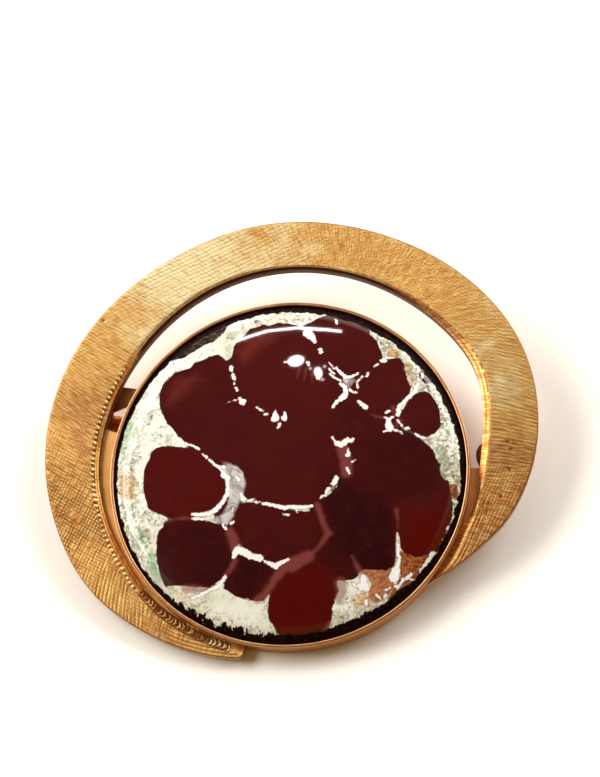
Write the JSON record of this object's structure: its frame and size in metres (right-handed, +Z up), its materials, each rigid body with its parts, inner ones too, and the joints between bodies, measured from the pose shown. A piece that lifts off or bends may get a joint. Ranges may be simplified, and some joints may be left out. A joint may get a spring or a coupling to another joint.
{
  "type": "brooch",
  "caption": "Domed enamelled disc in a plain bezel, circled by an open engraved swirl band, with a closed pin across the back, lying on its pin and lower rim.",
  "frame": {"origin": "on the floor, under the middle of the brooch as it lies by itself, face up, on its pin and its lower rim", "axes": "+Z up; +Y along the floor towards the wide part of the gap between band and bezel, which is the raised side; +X towards the tip of the swirl"},
  "size_m": [0.0448, 0.041, 0.0073],
  "materials": {
    "gold_tone_brass": "engraved matt face, polished bezel and edges, lightly tarnished",
    "copper": "bare copper, fire-darkened",
    "enamel": "glossy fired enamel, dark red cells on a crackled cream ground",
    "pin_brass": "plain satin"
  },
  "bodies": {
    "root": {"swirl_frame": "gold_tone_brass", "copper_blank": "copper", "enamel_dome": "enamel", "pin_back": "pin_brass"}
  },
  "joints": []
}
